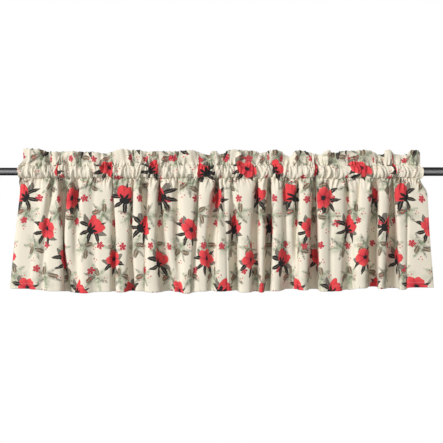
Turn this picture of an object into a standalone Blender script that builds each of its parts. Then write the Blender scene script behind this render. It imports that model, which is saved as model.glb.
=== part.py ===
"""A gathered window valance on an extending curtain rod.

One length of cloth is turned over at the top and stitched twice, which leaves a
pocket for the rod with a ruffled heading above it. The skirt hangs in uneven folds
below the pocket. The rod is two tubes, the thinner sliding in the thicker.

Metres, +Z up. The rod's axis is the X axis, the origin is its middle, and the
front of the valance faces -Y.
"""

from collections import namedtuple
from math import cos, pi, radians, sin

import bmesh
import bpy
from mathutils import Vector

MM = 0.001

# The rod
ROD_HALF_LENGTH = 750 * MM
INNER_DIAMETER = 25 * MM
OUTER_DIAMETER = 28 * MM
STEP_X = -100 * MM           # where the outer tube's open end lies, inside the pocket
INSERTION = 150 * MM         # how far the inner tube reaches into the outer one
SLIDING_GAP = 0.3 * MM       # round the inner tube and at its end
BORE_OVERRUN = 5 * MM        # of the cutter, past the outer tube's open end
ROD_SIDES = 40
CORNER_ANGLE = 40            # degrees; a sharper turn between faces is shaded as an edge

# The cloth
CLOTH = 1.2 * MM             # one layer with its hem turnings
HEADING = 2.8 * MM           # two layers, sewn together
POCKET_LEFT = -655 * MM
POCKET_RIGHT = 650 * MM
SEAM_LEFT = -649 * MM        # the stitching draws the cloth in more than the rod does
SEAM_RIGHT = 638 * MM
HEADING_LEFT = -636 * MM
HEADING_RIGHT = 639 * MM
TOP_SEAM = 19.5 * MM         # above the rod's axis
BOTTOM_SEAM = -26.5 * MM
ROD_CLEARANCE = 2 * MM       # from the thicker tube to the pocket's inside
POCKET_SIDES = 12
POCKET_THROAT = -19.5 * MM   # where the pocket's two walls come together under the rod
FOLD_BEGIN = -75 * MM        # height at which the folds have opened fully
SEAM_HUNG = -0.16            # the seam's place on the scale from FOLD_BEGIN to the hem
LEAST_STEP = 3 * MM          # between columns where the folds are drawn together
PULLING_PASSES = 200         # enough for the drawn-up columns to settle
SEAM_DEPTH = 0.15            # of a fold's full depth, where the stitching flattens it
DEEPENING = 0.75             # below 1, the folds deepen fastest just under the seam

# The skirt's folds, left to right, in millimetres. x is the middle of a fold or of the
# gap behind it, out is how far it stands in front of the rod's axis (behind it when
# negative), and half is half the width of its nearly flat crest: each at the top of the
# folds, at MIDWAY and at the hem. drop is the hem's depth below the axis.
Fold = namedtuple("Fold", "name x out half drop")
MIDWAY = 0.44                # of the way from FOLD_BEGIN to the hem
FOLDS = [
    Fold("edge_left", (-646, -661, -678), (10, 10, 10), (0, 0, 0), 374),
    Fold("panel_left", (-610, -622, -638), (17, 19, 19), (21, 21, 21), 375),
    Fold("fold_a", (-560, -581, -595), (26, 24, 24), (5, 9, 8), 377),
    Fold("dip_a", (-548, -562, -574), (8, 18, 19), (4, 3, 4), 379),
    Fold("fold_b", (-524, -526, -527), (24, 28, 28), (8, 19, 24), 382),
    Fold("gap_b", (-512, -509, -502), (-18, 2, -16), (7, 1, 7), 387),
    Fold("fold_c", (-482, -487, -482), (20, 23, -4), (7, 10, 3), 389),
    Fold("gap_c", (-468, -464, -466), (-8, 14, 2), (6, 5, 4), 390),
    Fold("fold_d", (-438, -438, -437), (26, 26, 26), (11, 9, 10), 389),
    Fold("dip_d", (-408, -407, -403), (21, 20, 15), (3, 4, 6), 386),
    Fold("fold_e", (-370, -371, -368), (24, 24, 22), (20, 19, 15), 384),
    Fold("gap_e", (-349, -346, -346), (6, 2, 0), (1, 5, 5), 385),
    Fold("fold_f", (-315, -315, -320), (24, 24, 25), (25, 18, 13), 386),
    Fold("gap_f", (-288, -292, -290), (2, 2, -14), (1, 3, 8), 385),
    Fold("fold_g", (-266, -265, -263), (25, 21, 10), (10, 15, 10), 384),
    Fold("gap_g", (-247, -243, -246), (-8, 16, 8), (7, 2, 2), 385),
    Fold("fold_h", (-218, -220, -218), (26, 27, 26), (13, 11, 20), 386),
    Fold("gap_h", (-199, -194, -167), (-6, -4, -13), (3, 12, 11), 385),
    Fold("fold_i", (-173, -165, -144), (22, 22, 9), (16, 10, 6), 386),
    Fold("dip_i", (-141, -140, -130), (6, 9, 12), (3, 6, 3), 388),
    Fold("fold_j", (-105, -105, -110), (26, 26, 25), (21, 13, 10), 390),
    Fold("dip_j", (-78, -84, -89), (0, 9, 13), (2, 4, 4), 387),
    Fold("fold_k", (-50, -60, -62), (25, 20, 18), (18, 12, 13), 384),
    Fold("gap_k", (-20, -29, -33), (-22, -6, 4), (7, 12, 6), 383),
    Fold("fold_l", (-2, -3, -1), (27, 27, 27), (5, 8, 14), 383),
    Fold("nick_l", (6, 12, 16), (16, 24, 25), (0, 0, 0), 382),
    Fold("fold_m", (19, 20, 22), (24, 21, 22), (8, 4, 3), 382),
    Fold("dip_m", (33, 43, 46), (17, -14, -14), (2, 5, 5), 384),
    Fold("fold_n", (79, 75, 76), (26, 26, 26), (22, 18, 17), 386),
    Fold("gap_n", (113, 108, 110), (-14, -5, -12), (4, 9, 9), 387),
    Fold("fold_o", (131, 129, 128), (21, 21, 14), (10, 9, 5), 388),
    Fold("gap_o", (156, 155, 149), (-28, -28, -22), (6, 9, 8), 387),
    Fold("fold_p", (176, 177, 172), (27, 27, 27), (15, 13, 14), 382),
    Fold("dip_p", (202, 207, 215), (8, 9, -16), (3, 3, 6), 379),
    Fold("fold_q", (221, 221, 228), (23, 14, -18), (12, 5, 4), 379),
    Fold("gap_q", (245, 240, 241), (-8, 2, 2), (3, 3, 3), 378),
    Fold("fold_r", (267, 263, 261), (26, 27, 26), (17, 16, 13), 379),
    Fold("gap_r", (303, 302, 301), (-29, -30, -30), (6, 10, 14), 381),
    Fold("fold_s", (320, 322, 323), (27, 27, 27), (16, 14, 12), 383),
    Fold("dip_s", (350, 349, 351), (19, 19, 19), (4, 3, 4), 384),
    Fold("fold_t", (376, 372, 370), (23, 23, 21), (14, 13, 10), 383),
    Fold("gap_t", (407, 413, 408), (0, 6, -10), (3, 6, 11), 381),
    Fold("fold_u", (420, 424, 423), (20, 16, 6), (9, 2, 1), 379),
    Fold("nick_u", (442, 433, 427), (8, 20, 20), (0, 0, 0), 375),
    Fold("fold_v", (458, 452, 446), (25, 27, 27), (17, 14, 15), 373),
    Fold("gap_v", (498, 495, 494), (-14, -23, -26), (8, 11, 14), 373),
    Fold("fold_w", (517, 513, 508), (26, 26, 26), (16, 14, 10), 375),
    Fold("gap_w", (554, 557, 559), (-14, -22, -24), (5, 11, 16), 377),
    Fold("fold_x", (570, 573, 577), (24, 24, 22), (17, 13, 9), 378),
    Fold("nick_x", (593, 594, 592), (14, 14, 14), (0, 0, 0), 376),
    Fold("panel_right", (618, 624, 631), (21, 21, 21), (21, 27, 34), 371),
    Fold("edge_right", (657, 664, 677), (15, 16, 16), (0, 0, 0), 371),
]

# The heading's upper edge, left to right, in millimetres: x, the height of the edge above
# the rod's axis, and how far it leans out in front of the axis.
Lobe = namedtuple("Lobe", "x top out")
LOBES = [
    Lobe(-636, 74, 5),
    Lobe(-601, 72, 11),
    Lobe(-582, 71, 9),
    Lobe(-566, 65, -5),
    Lobe(-535, 63, 7),
    Lobe(-509, 65, -9),
    Lobe(-476, 64, 9),
    Lobe(-441, 64, -7),
    Lobe(-402, 62, 9),
    Lobe(-380, 58, -11),
    Lobe(-352, 63, 2),
    Lobe(-322, 72, 12),
    Lobe(-295, 69, 0),
    Lobe(-265, 69, 9),
    Lobe(-244, 64, -9),
    Lobe(-210, 65, 9),
    Lobe(-154, 65, -9),
    Lobe(-98, 69, 11),
    Lobe(-73, 63, -5),
    Lobe(-44, 54, -14),
    Lobe(-26, 68, 12),
    Lobe(-2, 55, -12),
    Lobe(30, 70, 14),
    Lobe(69, 67, 6),
    Lobe(108, 66, 7),
    Lobe(128, 60, -14),
    Lobe(156, 67, 9),
    Lobe(184, 68, 11),
    Lobe(219, 48, -14),
    Lobe(242, 68, 12),
    Lobe(282, 63, -3),
    Lobe(319, 54, -14),
    Lobe(338, 68, 12),
    Lobe(364, 60, -8),
    Lobe(390, 66, 9),
    Lobe(424, 67, -3),
    Lobe(463, 69, 11),
    Lobe(492, 63, -3),
    Lobe(517, 53, -14),
    Lobe(533, 71, 12),
    Lobe(561, 58, -11),
    Lobe(592, 54, -12),
    Lobe(617, 70, 12),
    Lobe(639, 64, -2),
]

# Rows of the cloth, as shares of the way down
OPENING_ROWS = [0.3, 0.65, 1.0]          # from the bottom seam to FOLD_BEGIN
HANGING_ROWS = [0.22, MIDWAY, 0.72, 1.0]  # from FOLD_BEGIN to the hem
HEADING_ROWS = [0.45, 1.0]               # from the top seam up to the edge

METAL = (0.035, 0.035, 0.038)
CREAM = (0.86, 0.80, 0.68)


def mix(a, b, share):
    """The value that lies that share of the way from a to b."""
    return a + (b - a) * share


def ease(share):
    """A share that starts and ends gently."""
    return share * share * (3 - 2 * share)


def material(name, colour, roughness, metallic=0.0):
    """A plain finish of one colour."""
    made = bpy.data.materials.new(name)
    made.use_nodes = True
    shader = made.node_tree.nodes["Principled BSDF"]
    shader.inputs["Base Color"].default_value = (*colour, 1.0)
    shader.inputs["Roughness"].default_value = roughness
    shader.inputs["Metallic"].default_value = metallic
    made.diffuse_color = (*colour, 1.0)
    return made


def collection(name):
    """A new collection in the scene."""
    made = bpy.data.collections.new(name)
    bpy.context.scene.collection.children.link(made)
    return made


def add_object(name, bm, finish, group):
    """An object of that name made from a bmesh."""
    mesh = bpy.data.meshes.new(name)
    bm.to_mesh(mesh)
    bm.free()
    if finish:
        mesh.materials.append(finish)
    made = bpy.data.objects.new(name, mesh)
    group.objects.link(made)
    return made


# The cloth

def skirt_columns():
    """Every column of the skirt: both ends of each fold's crest, in metres."""
    Column = namedtuple("Column", "x out drop")
    columns = []
    for fold in FOLDS:
        sides = (-1, 1) if any(fold.half) else (0,)
        for side in sides:
            columns.append(Column(
                [(x + side * half) * MM for x, half in zip(fold.x, fold.half)],
                [out * MM for out in fold.out],
                fold.drop * MM,
            ))
    return columns


def gathered_shares(columns):
    """Where each column is drawn together by the stitching: 0 at the left side, 1 at the right."""
    places = [min(max(hanging(column.x, SEAM_HUNG), SEAM_LEFT), SEAM_RIGHT) for column in columns]
    for _ in range(PULLING_PASSES):
        short = [max(LEAST_STEP - right + left, 0) / 2 for left, right in zip(places, places[1:])]
        for i, step in enumerate(short):
            places[i] -= step
            places[i + 1] += step
        places[0], places[-1] = SEAM_LEFT, SEAM_RIGHT
    return [(place - SEAM_LEFT) / (SEAM_RIGHT - SEAM_LEFT) for place in places]


def hanging(levels, hung):
    """The value that far down from FOLD_BEGIN, running smoothly from top to middle to hem."""
    top, middle, hem = levels
    above, below = (middle - top) / MIDWAY, (hem - middle) / (1 - MIDWAY)
    if hung < 0:
        return top + above * hung
    slope = 2 * above * below / (above + below) if above * below > 0 else 0.0
    if hung < MIDWAY:
        start, end, first, last, width = top, middle, above, slope, MIDWAY
    else:
        start, end, first, last, width = middle, hem, slope, below, 1 - MIDWAY
        hung -= MIDWAY
    t = hung / width
    bend = t * (1 - t) * ((1 - t) * (first * width - (end - start)) - t * (last * width - (end - start)))
    return mix(start, end, t) + bend


def heading_edge(x):
    """Height and lean of the heading's upper edge at x, in metres."""
    for left, right in zip(LOBES, LOBES[1:]):
        if x <= right.x * MM:
            break
    share = ease(min(max((x / MM - left.x) / (right.x - left.x), 0.0), 1.0))
    return mix(left.top, right.top, share) * MM, mix(left.out, right.out, share) * MM


def skirt_middle(columns, shares):
    """Rows of points midway through the skirt's thickness, from the bottom seam to the hem."""
    rows = []
    for opened in [0.0] + OPENING_ROWS:
        row = []
        for column, share in zip(columns, shares):
            x_seam = mix(SEAM_LEFT, SEAM_RIGHT, share)
            depth = mix(SEAM_DEPTH, 1.0, sin(opened * pi / 2) ** DEEPENING)
            x = mix(x_seam, hanging(column.x, SEAM_HUNG * (1 - opened)), ease(opened))
            row.append(Vector((x, -column.out[0] * depth, mix(BOTTOM_SEAM, FOLD_BEGIN, opened))))
        rows.append(row)
    for hung in HANGING_ROWS:
        rows.append([
            Vector((hanging(column.x, hung), -hanging(column.out, hung), mix(FOLD_BEGIN, -column.drop, hung)))
            for column in columns
        ])
    return rows


def skirt_sides(middle):
    """The skirt's front and back points, half its thickness to either side of the middle."""
    front, back = [], []
    for row_number, row in enumerate(middle):
        above = middle[max(row_number - 1, 0)]
        below = middle[min(row_number + 1, len(middle) - 1)]
        front_row, back_row = [], []
        for i, point in enumerate(row):
            along = row[min(i + 1, len(row) - 1)] - row[max(i - 1, 0)]
            down = below[i] - above[i]
            normal = along.cross(-down).normalized()
            front_row.append(point + normal * CLOTH / 2)
            back_row.append(point - normal * CLOTH / 2)
        front.append(front_row)
        back.append(back_row)
    return front, back


def pocket_ring(x, radius, side):
    """Points round one side of the pocket, from the bottom to the top. side is -1 in front."""
    step = 360 / POCKET_SIDES
    angles = [radians(-90 + step * (k + 0.5)) for k in range(POCKET_SIDES // 2)]
    return [Vector((x, side * radius * cos(a), radius * sin(a))) for a in angles]


def cloth_sections(columns, shares):
    """For each column, its front and back outlines from hem to heading, and the pocket's inside."""
    inside_radius = (OUTER_DIAMETER / 2 + ROD_CLEARANCE) / cos(pi / POCKET_SIDES)
    skirt_front, skirt_back = skirt_sides(skirt_middle(columns, shares))
    sections = []
    for i, share in enumerate(shares):
        x_pocket = mix(POCKET_LEFT, POCKET_RIGHT, share)
        x_seam = mix(SEAM_LEFT, SEAM_RIGHT, share)
        x_heading = mix(HEADING_LEFT, HEADING_RIGHT, share)
        top, out = heading_edge(x_heading)
        sides = []
        for side, skirt in ((-1, skirt_front), (1, skirt_back)):
            outline = [row[i] for row in reversed(skirt)]
            outline.append(Vector((x_pocket, side * CLOTH, POCKET_THROAT)))
            outline += pocket_ring(x_pocket, inside_radius + CLOTH, side)
            outline.append(Vector((x_seam, side * HEADING / 2, TOP_SEAM)))
            for risen in HEADING_ROWS:
                x = mix(x_seam, x_heading, ease(risen))
                y = -out * risen + side * HEADING / 2
                outline.append(Vector((x, y, mix(TOP_SEAM, top, risen))))
            sides.append(outline)
        inside = [pocket_ring(x_pocket, inside_radius, side) for side in (-1, 1)]
        sections.append((sides, inside))
    return sections


def close_end(bm, front, back, inside_front, inside_back):
    """The cut end of the cloth: flat strips, and a ring of wall round the pocket's mouth."""
    ring = len(inside_front)
    ring_start = len(front) - ring - 1 - len(HEADING_ROWS)
    ring_end = ring_start + ring
    for k in range(len(front) - 1):
        if k + 1 < ring_start or k >= ring_end:
            bm.faces.new((front[k], front[k + 1], back[k + 1], back[k]))
    for outer, inner in ((front, inside_front), (back, inside_back)):
        for k in range(ring - 1):
            bm.faces.new((outer[ring_start + k], outer[ring_start + k + 1], inner[k + 1], inner[k]))
    bm.faces.new((
        front[ring_start - 1], front[ring_start], inside_front[0],
        inside_back[0], back[ring_start], back[ring_start - 1],
    ))
    bm.faces.new((
        front[ring_end - 1], front[ring_end], back[ring_end],
        back[ring_end - 1], inside_back[-1], inside_front[-1],
    ))


def make_valance(group):
    """The cloth in one piece: heading, pocket and skirt, open right through for the rod."""
    columns = skirt_columns()
    sections = cloth_sections(columns, gathered_shares(columns))
    bm = bmesh.new()
    made = []
    for (front, back), (inside_front, inside_back) in sections:
        made.append([[bm.verts.new(p) for p in outline]
                     for outline in (front, back, inside_front, inside_back)])
    for left, right in zip(made, made[1:]):
        for loop in (
            [left[0] + left[1][::-1], right[0] + right[1][::-1]],
            [left[2] + left[3][::-1], right[2] + right[3][::-1]],
        ):
            near, far = loop
            for k in range(len(near)):
                after = (k + 1) % len(near)
                bm.faces.new((near[k], near[after], far[after], far[k]))
    close_end(bm, *made[0])
    close_end(bm, *made[-1])
    bmesh.ops.recalc_face_normals(bm, faces=bm.faces)
    bmesh.ops.triangulate(bm, faces=bm.faces)
    valance = add_object("valance", bm, material("printed_cloth", CREAM, 0.85), group)
    valance.data.shade_smooth()
    return valance


# The rod

def bar(name, left, right, diameter, finish, group):
    """A round bar along the rod's axis from left to right."""
    bm = bmesh.new()
    bmesh.ops.create_cone(
        bm, cap_ends=True, segments=ROD_SIDES, radius1=diameter / 2, radius2=diameter / 2,
        depth=right - left,
    )
    made = add_object(name, bm, finish, group)
    made.rotation_euler = (0, pi / 2, 0)
    made.location = ((left + right) / 2, 0, 0)
    made.data.shade_smooth()
    made.data.set_sharp_from_angle(angle=radians(CORNER_ANGLE))
    return made


def make_rod(group, cutters):
    """Two tubes of metal, the thinner one pushed into the bore of the thicker one."""
    inner_end = STEP_X + INSERTION
    bar("rod_inner", -ROD_HALF_LENGTH, inner_end, INNER_DIAMETER,
        material("rod_metal_inner", METAL, 0.4, 0.6), group)
    outer = bar("rod_outer", STEP_X, ROD_HALF_LENGTH, OUTER_DIAMETER,
                material("rod_metal_outer", METAL, 0.4, 0.6), group)
    bore = bar("rod_bore", STEP_X - BORE_OVERRUN, inner_end + SLIDING_GAP,
               INNER_DIAMETER + 2 * SLIDING_GAP, None, cutters)
    bore.hide_render = True
    bore.display_type = "WIRE"
    cut = outer.modifiers.new("bore", "BOOLEAN")
    cut.operation = "DIFFERENCE"
    cut.object = bore


def main():
    for old in list(bpy.data.objects):
        bpy.data.objects.remove(old)
    parts = collection("window_valance")
    cutters = collection("cutters")
    make_valance(parts)
    make_rod(parts, cutters)


main()
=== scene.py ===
"""A gathered window valance on its rod, in a plain white studio.

Metres, +Z up. The rod's axis is the X axis, and the front of the valance faces -Y.
"""

from collections import namedtuple
from math import atan, pi, tau

import bpy
import numpy as np
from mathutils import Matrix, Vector


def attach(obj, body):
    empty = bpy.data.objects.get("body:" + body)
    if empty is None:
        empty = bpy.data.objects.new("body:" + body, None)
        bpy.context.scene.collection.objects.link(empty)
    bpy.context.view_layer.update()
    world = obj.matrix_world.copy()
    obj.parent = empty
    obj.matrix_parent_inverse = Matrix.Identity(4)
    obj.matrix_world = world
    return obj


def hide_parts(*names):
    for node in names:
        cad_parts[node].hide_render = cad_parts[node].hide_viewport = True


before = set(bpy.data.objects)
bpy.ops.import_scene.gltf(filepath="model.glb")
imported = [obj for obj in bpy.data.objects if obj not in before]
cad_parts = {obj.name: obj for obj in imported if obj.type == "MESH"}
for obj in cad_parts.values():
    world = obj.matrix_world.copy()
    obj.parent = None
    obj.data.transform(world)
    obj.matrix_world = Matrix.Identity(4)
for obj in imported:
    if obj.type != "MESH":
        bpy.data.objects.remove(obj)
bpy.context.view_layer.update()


# ---------------------------------------------------------------------------------------
# The camera stands two metres in front of the rod and looks level at the middle of the
# cloth, so the bare rod runs out of view on both sides.

CAMERA_DISTANCE = 2.0
VIEW_WIDTH = 1.4265          # what the camera takes in at the rod
VIEW_HEIGHT = -0.1607        # the camera's height against the rod's axis


def placed(name, data):
    """An object in the scene, made of that data."""
    made = bpy.data.objects.new(name, data)
    bpy.context.scene.collection.objects.link(made)
    return made


camera_data = bpy.data.cameras.new("camera")
camera_data.angle = 2 * atan(VIEW_WIDTH / 2 / CAMERA_DISTANCE)
camera = placed("camera", camera_data)
camera.location = (0, -CAMERA_DISTANCE, VIEW_HEIGHT)
camera.rotation_euler = (pi / 2, 0, 0)
bpy.context.scene.camera = camera
bpy.context.scene.view_settings.view_transform = "Standard"


# ---------------------------------------------------------------------------------------
# The studio: a white sweep of floor and wall well behind and below the valance, in a white
# room. One large soft light stands at the front left, a weak one near the camera, one for the
# rod's gloss, and one behind for the back of the cloth.

FLOOR = -1.45
WALL = 2.6
WALL_TOP = 5.0
SWEEP_RADIUS = 0.8
SWEEP_STEPS = 12
STAGE_HALF_WIDTH = 6.0
STAGE_FRONT = -5.0
CLOTH_MIDDLE = (0, 0, -0.15)

turns = np.linspace(0, pi / 2, SWEEP_STEPS + 1)
curve_y = WALL - SWEEP_RADIUS + SWEEP_RADIUS * np.sin(turns)
curve_z = FLOOR + SWEEP_RADIUS - SWEEP_RADIUS * np.cos(turns)
profile = [(STAGE_FRONT, FLOOR), *zip(curve_y, curve_z), (WALL, WALL_TOP)]
stage_mesh = bpy.data.meshes.new("studio_sweep")
stage_mesh.from_pydata(
    [(x, y, z) for x in (-STAGE_HALF_WIDTH, STAGE_HALF_WIDTH) for y, z in profile],
    [],
    [(k, k + 1, len(profile) + k + 1, len(profile) + k) for k in range(len(profile) - 1)],
)
stage_mesh.shade_smooth()
stage_paint = bpy.data.materials.new("studio_white")
stage_paint.use_nodes = True
for name, value in (
    ("Base Color", (0, 0, 0, 1)),
    ("Specular IOR Level", 0.0),
    ("Roughness", 1.0),
    ("Emission Color", (1, 1, 1, 1)),
    ("Emission Strength", 1.0),
):
    stage_paint.node_tree.nodes["Principled BSDF"].inputs[name].default_value = value
stage_mesh.materials.append(stage_paint)
studio_sweep = placed("studio_sweep", stage_mesh)
studio_sweep.visible_diffuse = False
studio_sweep.visible_glossy = False


def soft_light(name, place, target, size, power):
    """A soft box at place, facing target. Its size is its width and its height."""
    data = bpy.data.lights.new(name, "AREA")
    data.shape = "RECTANGLE"
    data.size, data.size_y = size
    data.energy = power
    made = placed(name, data)
    made.location = place
    made.rotation_euler = (Vector(target) - Vector(place)).to_track_quat("-Z", "Y").to_euler()
    return made


soft_light("key_light", (-10.8, -10.4, 3.6), CLOTH_MIDDLE, (4.5, 4.5), 2200)
soft_light("fill_light", (0.6, -3.2, 0.6), CLOTH_MIDDLE, (1.8, 1.8), 4)
glint_light = soft_light("glint_light", (0, -3.2, -0.55), (0, 0, 0), (5.0, 3.8), 275)
glint_light.visible_diffuse = False
soft_light("back_light", (2.9, 2.3, 1.1), CLOTH_MIDDLE, (1.4, 1.4), 110)

# The room's air gives a weak warm light, and looks white
world = bpy.data.worlds.new("studio_air")
bpy.context.scene.world = world
world.cycles_visibility.glossy = False
world.use_nodes = True
air = world.node_tree.nodes
air["Background"].inputs["Color"].default_value = (1, 0.99, 0.955, 1)
air["Background"].inputs["Strength"].default_value = 0.38
white = air.new("ShaderNodeBackground")
white.inputs["Color"].default_value = (1, 1, 1, 1)
seen = air.new("ShaderNodeMixShader")
for outlet, inlet in (
    (air.new("ShaderNodeLightPath").outputs["Is Camera Ray"], seen.inputs[0]),
    (air["Background"].outputs[0], seen.inputs[1]),
    (white.outputs[0], seen.inputs[2]),
    (seen.outputs[0], air["World Output"].inputs["Surface"]),
):
    world.node_tree.links.new(outlet, inlet)


# ---------------------------------------------------------------------------------------
# The rod is two steel tubes, the left one sliding inside the right one, painted a satin
# dark grey. The paint is slightly uneven and finely scratched along the tubes by sliding.

ROD_GREY = (0.095, 0.095, 0.098, 1)
ROD_SCRATCH = (0.135, 0.134, 0.136, 1)
SCRATCHES = (6, 900, 900)    # to the metre, drawn out along the tubes
RELIEF = 0.0001              # how deep the bumps of a surface are


def through(operation):
    """A method that puts a wire, and any other values, through the node of that operation."""
    return lambda wire, *others: wire.board.math(operation, wire, *others)


class Wire:
    """What a node puts out. Arithmetic on it adds the nodes that do it."""

    __add__ = through("ADD")
    __sub__ = through("SUBTRACT")
    __mul__ = through("MULTIPLY")
    __truediv__ = through("DIVIDE")
    __mod__ = through("FLOORED_MODULO")
    __lt__ = through("LESS_THAN")
    __gt__ = through("GREATER_THAN")
    __abs__ = through("ABSOLUTE")
    floor = through("FLOOR")
    sine = through("SINE")
    cosine = through("COSINE")
    length = through("LENGTH")

    def __init__(self, board, socket):
        self.board = board
        self.socket = socket

    def __rsub__(self, other):
        return self.board.math("SUBTRACT", other, self)

    def clamped(self):
        """The same value, held between 0 and 1 by the node that it comes from."""
        self.socket.node.use_clamp = True
        return self


SOCKETS = {"VALUE": "Float", "VECTOR": "Vector", "RGBA": "Color", "GEOMETRY": "Geometry"}


class Board:
    """A node tree while it is being laid out."""

    def __init__(self, tree):
        self.tree = tree

    def fill(self, socket, value):
        """Links a wire to an input, or sets the input to a plain value. None leaves it alone."""
        if isinstance(value, Wire):
            self.tree.links.new(value.socket, socket)
        elif value is not None:
            socket.default_value = value

    def node(self, kind, *values, **settings):
        """Adds a node with its settings, and fills its inputs in order."""
        made = self.tree.nodes.new(kind)
        for name, value in settings.items():
            setattr(made, name, value)
        for socket, value in zip(made.inputs, values):
            self.fill(socket, value)
        return made

    def result(self, kind, *values, **settings):
        """Adds a node as above and gives its first output."""
        return Wire(self, self.node(kind, *values, **settings).outputs[0])

    def math(self, operation, *values):
        """One operation on numbers, or on vectors where one of the values is a vector or a colour."""
        plain = [value.socket.type == "VALUE" for value in values if isinstance(value, Wire)]
        kind = "ShaderNodeMath" if all(plain) and tuple not in map(type, values) else "ShaderNodeVectorMath"
        made = self.node(kind, *values, operation=operation)
        return Wire(self, made.outputs["Value" if operation == "LENGTH" else 0])

    def larger(self, a, b):
        return self.math("MAXIMUM", a, b)

    def all_of(self, made):
        """All that a node puts out."""
        return [Wire(self, socket) for socket in made.outputs]

    def parts(self, vector):
        """The X, Y and Z of a vector."""
        return self.all_of(self.node("ShaderNodeSeparateXYZ", vector))

    def join(self, x, y, z=0.0):
        return self.result("ShaderNodeCombineXYZ", x, y, z)

    def turned(self, vector, angle):
        """The vector turned about Z."""
        return self.result("ShaderNodeVectorRotate", vector, None, None, angle, rotation_type="Z_AXIS")

    def paint(self, under, ink, mask):
        """The ink laid over the colour under it, where the mask is."""
        made = self.node("ShaderNodeMix", mask, data_type="RGBA")
        self.fill(made.inputs[6], under)
        self.fill(made.inputs[7], ink)
        return Wire(self, made.outputs[2])

    def place(self):
        """The place in the object."""
        return Wire(self, self.node("ShaderNodeTexCoord").outputs["Object"])

    def noise(self, place, scale=1.0, detail=2.0):
        """Soft noise, as a value and as a colour."""
        return self.all_of(self.node("ShaderNodeTexNoise", place, None, scale, detail))

    def bump(self, height, strength):
        made = self.node("ShaderNodeBump")
        for name, value in (("Strength", strength), ("Distance", RELIEF), ("Height", height)):
            self.fill(made.inputs[name], value)
        return Wire(self, made.outputs[0])

    def group(self, tree, **values):
        """Places a node group with its named inputs filled, and gives all that it puts out."""
        made = self.node("ShaderNodeGroup", node_tree=tree)
        for name, value in values.items():
            self.fill(made.inputs[name], value)
        return self.all_of(made)

    def finished(self, **wires):
        """The node group that the board has become, with these outputs."""
        for name, wire in wires.items():
            kind = "NodeSocket" + SOCKETS[wire.socket.type]
            self.tree.interface.new_socket(name, in_out="OUTPUT", socket_type=kind)
        end = self.tree.nodes.new("NodeGroupOutput")
        for name, wire in wires.items():
            self.fill(end.inputs[name], wire)
        return self.tree


def new_group(name, inputs, kind="Shader"):
    """A node group's board and its inputs. A number's kind is left out of their list."""
    board = Board(bpy.data.node_groups.new(name, kind + "NodeTree"))
    for entry in inputs.split():
        label, _, sort = entry.partition(":")
        socket_type = "NodeSocket" + (sort or "Float")
        board.tree.interface.new_socket(label, in_out="INPUT", socket_type=socket_type)
    return [board, *board.all_of(board.tree.nodes.new("NodeGroupInput"))[:-1]]


def new_finish(name):
    """A material, its board and its Principled shader's inputs."""
    finish = bpy.data.materials.new(name)
    finish.use_nodes = True
    return finish, Board(finish.node_tree), finish.node_tree.nodes["Principled BSDF"].inputs


rod_paint, board, shader = new_finish("rod_paint")
shader["Metallic"].default_value = 0.85
scratches, _ = board.noise(board.place() * SCRATCHES, detail=3.0)
scratched = ((scratches - 0.55) * 3.0).clamped()
mottle, _ = board.noise(board.place(), scale=55.0)
board.fill(shader["Base Color"], board.paint(ROD_GREY, ROD_SCRATCH, scratched))
board.fill(shader["Roughness"], mottle * 0.10 + 0.40)
board.fill(shader["Normal"], board.bump(scratches, 0.04))
for tube in ("rod_inner", "rod_outer"):
    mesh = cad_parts[tube].data
    mesh.materials.clear()
    mesh.materials.append(rod_paint)


# ---------------------------------------------------------------------------------------
# The valance. One width of printed cotton cloth, hemmed at the sides and the bottom. Its
# top is turned over to the back and stitched twice, which leaves a pocket for the rod
# below a ruffled heading. Drawn together on the rod, it hangs in uneven folds.

MM = 0.001
CLOTH = 0.00045              # its thickness
SIDE_HEM = 0.012
FLAT_WIDTH = 2.2             # hem to hem, before it was drawn together
SKIRT_LENGTH = 0.360         # down the cloth from the bottom seam to the hem
POCKET_CLOTH = 0.064         # up the cloth from seam to seam, in front or behind
HEADING_CLOTH = 0.046        # up the cloth from the top seam to the heading's edge
POCKET_SPAN = (-0.651, 0.645)
SEAM_SPAN = (-0.649, 0.638)  # the stitching draws the cloth in more than the rod does
HEADING_SPAN = (-0.636, 0.639)
TOP_SEAM = 0.0195            # above the rod's axis
BOTTOM_SEAM = -0.0215
POCKET_DEPTH = 0.0172        # from the axis to the pocket's wall, in front and behind
SEAM_GAP = 0.0007            # from the middle of a seam to either layer of cloth
FOLD_BEGIN = -0.075          # where the folds have opened to the first of their values
SEAM_HUNG = -0.16            # the seam's place on the scale from FOLD_BEGIN to the hem
SEAM_DEPTH = 0.15            # of a fold's full depth, where the stitching flattens it
DEEPENING = 0.75             # below 1, the folds deepen fastest just under the seam
LEAST_STEP = 0.003           # between crests where the folds are drawn together
PULLING_PASSES = 200         # enough for the drawn-up crests to settle
TOP_COLUMNS = 940            # the gathers need twice the columns of the skirt
ROUNDING = 0.4               # 0 passes through every crest, 1 rounds them off most

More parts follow.
